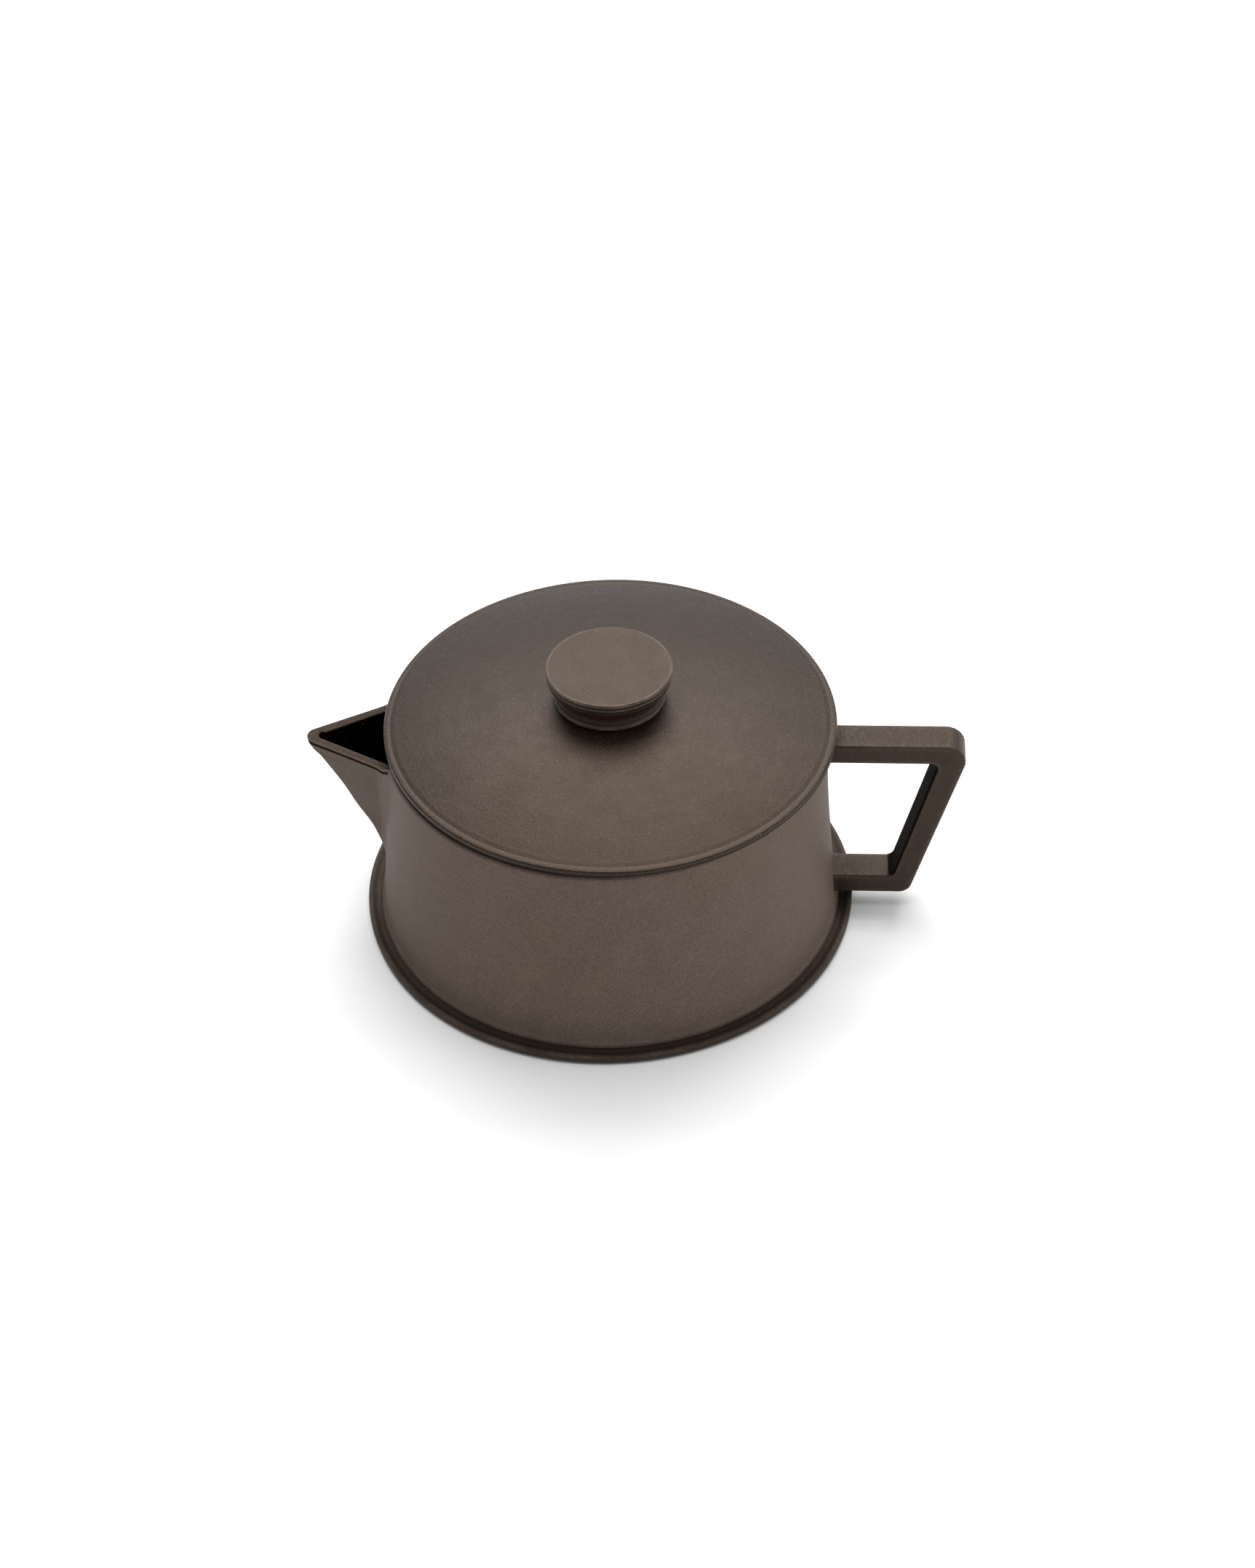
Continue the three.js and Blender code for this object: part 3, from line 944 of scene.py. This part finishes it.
def foot_clay():
    # the pale line on the foot's lip is mostly painted highlight
    return clay("foot_clay", (0.0140, 0.0088, 0.0062), (0.0135, 0.0086, 0.0062), 0.60,
                specular=0.36, wear_and_highlight=0.16)


def handle_clay():
    # its paler arm tops are partly painted top light
    return clay("handle_clay", (0.0060, 0.0024, 0.0012), (0.0056, 0.0022, 0.0012), 0.50,
                specular=0.44, wear_and_highlight=0.10, top_wear_and_light=0.07, grain=0.04, brushed=0.40)


def lid_clay():
    return clay("lid_clay", (0.0050, 0.0018, 0.0008), (0.0049, 0.0018, 0.0009), 0.35,
                specular=0.36, wear_and_highlight=0.07, grain=0.045, rings=0.006)


def knob_clay():
    # the paler bead and edges of the knob are mostly painted highlight
    return clay("knob_clay", (0.0120, 0.0060, 0.0038), (0.0120, 0.0060, 0.0038), 0.44,
                specular=0.42, wear_and_highlight=0.28, grain=0.10)


def shade_inside_clay(name, colour, specular):
    """The duller, darker clay of the faces that look at the pot's axis, which paints the shade there."""
    return clay(name, colour, colour, 0.90, specular=specular, wear_and_highlight=0.0, painted_shade_strength=0.0)


# ---- studio ----

# Places and sizes here are in metres.
FLOOR_RADIUS = 2.4
FLOOR_GAP = 0.0001         # under the pot's foot
AIR_LOW = 1.0
AIR_HIGH = 0.28
AIR_FADE_FROM = 0.08       # height of a direction of length 1
AIR_FADE_TO = 0.22


def floor():
    """A pale round floor that fades out into the pale air below the horizon."""
    mesh = bpy.data.meshes.new("studio_floor")
    work = bmesh.new()
    bmesh.ops.create_circle(work, cap_ends=True, segments=128, radius=FLOOR_RADIUS)
    work.to_mesh(mesh)
    work.free()
    piece = bpy.data.objects.new("studio_floor", mesh)
    piece.location.z = -FLOOR_GAP
    bpy.context.scene.collection.objects.link(piece)
    n = Nodes("floor_white")
    place = n.add("ShaderNodeTexCoord").outputs["Object"]
    tone = n.between(n.noise(place, 3, 2), 0.3, 0.7, 0.895, 0.905)
    colour = n.add("ShaderNodeCombineColor", {0: tone, 1: tone, 2: tone}).outputs[0]
    inputs = {"Base Color": colour, "Roughness": 0.9, "Specular IOR Level": 0.1}
    paper = n.add("ShaderNodeBsdfPrincipled", inputs)
    away = n.add("ShaderNodeVectorMath", {0: place}, operation="LENGTH").outputs["Value"]
    fade = n.between(away, FLOOR_RADIUS * 0.6, FLOOR_RADIUS * 0.97)
    clear = n.add("ShaderNodeBsdfTransparent")
    shader = n.add("ShaderNodeMixShader", {0: fade, 1: paper.outputs[0], 2: clear.outputs[0]})
    n.add("ShaderNodeOutputMaterial", {"Surface": shader.outputs[0]})
    mesh.materials.append(n.material)


def soft_light(name, place, aim, width, height, power):
    """A rectangular lamp at a place, turned to the point that it aims at."""
    data = bpy.data.lights.new(name, "AREA")
    data.shape = "RECTANGLE"
    data.size, data.size_y = width, height
    data.energy = power
    lamp = bpy.data.objects.new(name, data)
    lamp.location = place
    lamp.rotation_euler = (Vector(aim) - Vector(place)).to_track_quat("-Z", "Y").to_euler()
    bpy.context.scene.collection.objects.link(lamp)


def studio():
    """Soft boxes above and behind, weak ones on the right, and air that is palest low down."""
    world = bpy.data.worlds.new("studio_air")
    world.use_nodes = True
    tree = world.node_tree
    up = tree.nodes.new("ShaderNodeSeparateXYZ")
    tree.links.new(tree.nodes.new("ShaderNodeTexCoord").outputs["Generated"], up.inputs[0])
    level = tree.nodes.new("ShaderNodeMapRange")
    level.interpolation_type = "SMOOTHSTEP"
    tree.links.new(up.outputs["Z"], level.inputs["Value"])
    level.inputs["From Min"].default_value = AIR_FADE_FROM
    level.inputs["From Max"].default_value = AIR_FADE_TO
    level.inputs["To Min"].default_value = AIR_LOW
    level.inputs["To Max"].default_value = AIR_HIGH
    tree.nodes["Background"].inputs["Color"].default_value = (1, 1, 1, 1)
    tree.links.new(level.outputs["Result"], tree.nodes["Background"].inputs["Strength"])
    bpy.context.scene.world = world
    bpy.context.scene.view_settings.view_transform = "Standard"
    aim = (0, 0, 0.05)
    soft_light("back_low_softbox", (0.0, 2.16, 0.79), aim, 2.5, 0.9, 1.2)
    soft_light("back_middle_softbox", (0.0, 1.71, 1.54), aim, 2.4, 0.9, 25)
    soft_light("back_high_softbox", (0.0, 1.25, 1.95), aim, 2.5, 0.9, 24)
    soft_light("top_softbox", (0.0, 0.2, 2.2), (0, 0, 0), 1.8, 1.8, 35)
    soft_light("right_card", (1.9, 0.1, 0.9), aim, 1.2, 1.2, 8)
    soft_light("front_right_card", (1.4, -1.5, 0.7), aim, 0.9, 0.9, 2.5)


# ---- camera ----

def camera():
    """The camera stands a little to the handle's side of the front, and looks down on the lid."""
    azimuth, elevation, roll = math.radians(3.12), math.radians(41.34), math.radians(-1.35)
    distance = 1142 * MM
    target = Vector((6.36, 0.35, 45.95)) * MM
    level = math.cos(elevation)
    forward = Vector((-math.sin(azimuth) * level, math.cos(azimuth) * level, -math.sin(elevation)))
    right = Vector((math.cos(azimuth), math.sin(azimuth), 0))
    up = right.cross(forward)
    turned_right = right * math.cos(roll) + up * math.sin(roll)
    turned_up = up * math.cos(roll) - right * math.sin(roll)
    data = bpy.data.cameras.new("photo_camera")
    data.sensor_width = 36.0
    data.lens = 83.64
    data.clip_start, data.clip_end = 0.05, 50
    eye = bpy.data.objects.new("photo_camera", data)
    place = target - forward * distance
    eye.matrix_world = Matrix((
        (turned_right.x, turned_up.x, -forward.x, place.x),
        (turned_right.y, turned_up.y, -forward.y, place.y),
        (turned_right.z, turned_up.z, -forward.z, place.z),
        (0, 0, 0, 1),
    ))
    bpy.context.scene.collection.objects.link(eye)
    bpy.context.scene.camera = eye


# ---- the pieces: how each is built, its clay, body, CAD node and material slot ----

PIECES = (
    (foot, foot_clay, "pot", "foot_disc", "trim_clay"),
    (drum, wall_clay, "pot", "body_shell", "wall_clay"),
    (spout, wall_clay, "pot", "spout", "wall_clay"),
    (handle, handle_clay, "pot", "handle", "trim_clay"),
    (lid, lid_clay, "lid", "lid_disc", "lid_clay"),
    (collar, lid_clay, "lid", "lid_collar", "lid_clay"),
    (knob, knob_clay, "lid", "lid_knob", "lid_clay"),
)

camera()
studio()
floor()
finishes = {finish: finish() for finish in dict.fromkeys(row[1] for row in PIECES)}
# darker clays on the faces that look at the pot's axis: painted shade inside the wall, the channel and the
# grip
inside_shades = {
    drum: shade_inside_clay("wall_inside_shade", INSIDE_SHADE_CLAY, 0.15),
    spout: shade_inside_clay("channel_shade", NEAR_BLACK, 0.0),
    handle: shade_inside_clay("grip_inside_shade", NEAR_BLACK, 0.15),
}
for build, finish, body, node, slot in PIECES:
    piece = build()
    piece.data.materials.append(finishes[finish])
    if build in inside_shades:
        paint_inside_shade(piece, inside_shades[build])
    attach(piece, body)
    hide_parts(node)
